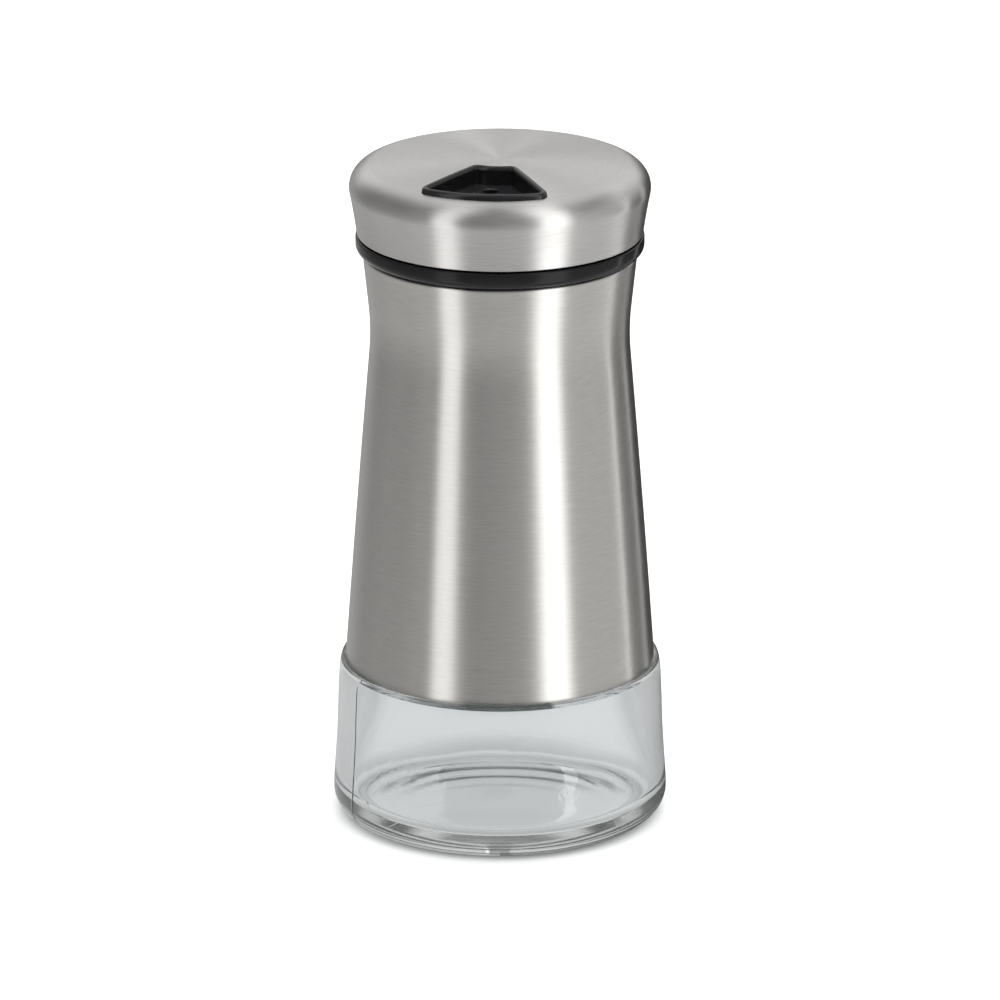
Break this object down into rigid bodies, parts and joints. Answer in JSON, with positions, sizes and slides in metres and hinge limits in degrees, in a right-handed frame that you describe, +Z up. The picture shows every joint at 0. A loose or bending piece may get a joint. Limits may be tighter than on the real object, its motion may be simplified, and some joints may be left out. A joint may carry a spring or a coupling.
{
  "type": "spice shaker",
  "caption": "Heavy glass shaker in a steel sleeve, with a screw lid whose turning dial brings its window over large holes, small holes, a pour opening or a shut station.",
  "frame": {"origin": "middle of the ring that the jar stands on, on the table's surface", "axes": "+Z up along the shaker's axis; the lid's window faces -Y, 8 degrees towards -X"},
  "size_m": [0.0608, 0.0608, 0.1235],
  "materials": {
    "clear_glass": "clear pressed glass with a faint grey-green tint",
    "sleeve_steel": "stainless sheet brushed round the jar",
    "cap_steel": "stainless sheet with a concentric brushed top",
    "collar_plastic": "satin moulded black",
    "sifter_plastic": "satin moulded black",
    "dial_plastic": "polished moulded black",
    "seal_rubber": "soft off-white",
    "washer_steel": "stamped plain steel",
    "screw_steel": "bright plain steel"
  },
  "bodies": {
    "jar": {"glass_jar": "clear_glass", "steel_sleeve": "sleeve_steel"},
    "seal": {"neck_seal": "seal_rubber"},
    "collar": {"threaded_collar": "collar_plastic", "sifter_disc": "sifter_plastic"},
    "dial": {"selector_dial": "dial_plastic", "steel_cap": "cap_steel", "pivot_washer": "washer_steel", "pivot_screw": "screw_steel"}
  },
  "joints": [
    {"name": "lid_lift", "type": "slide", "parent": "jar", "child": "seal", "axis": [0, 0, 1], "range_m": [0, 0.014]},
    {"name": "lid_turn", "type": "hinge", "parent": "seal", "child": "collar", "pos_m": [0, 0, 0.1065], "axis": [0, 0, 1], "range_deg": [0, 1260]},
    {"name": "dial_turn", "type": "hinge", "parent": "collar", "child": "dial", "pos_m": [0, 0, 0.12], "axis": [0, 0, 1], "continuous": true}
  ],
  "couplings": [
    {"joint": "lid_turn", "follows": "lid_lift", "rad_per_m": 1570.8}
  ]
}
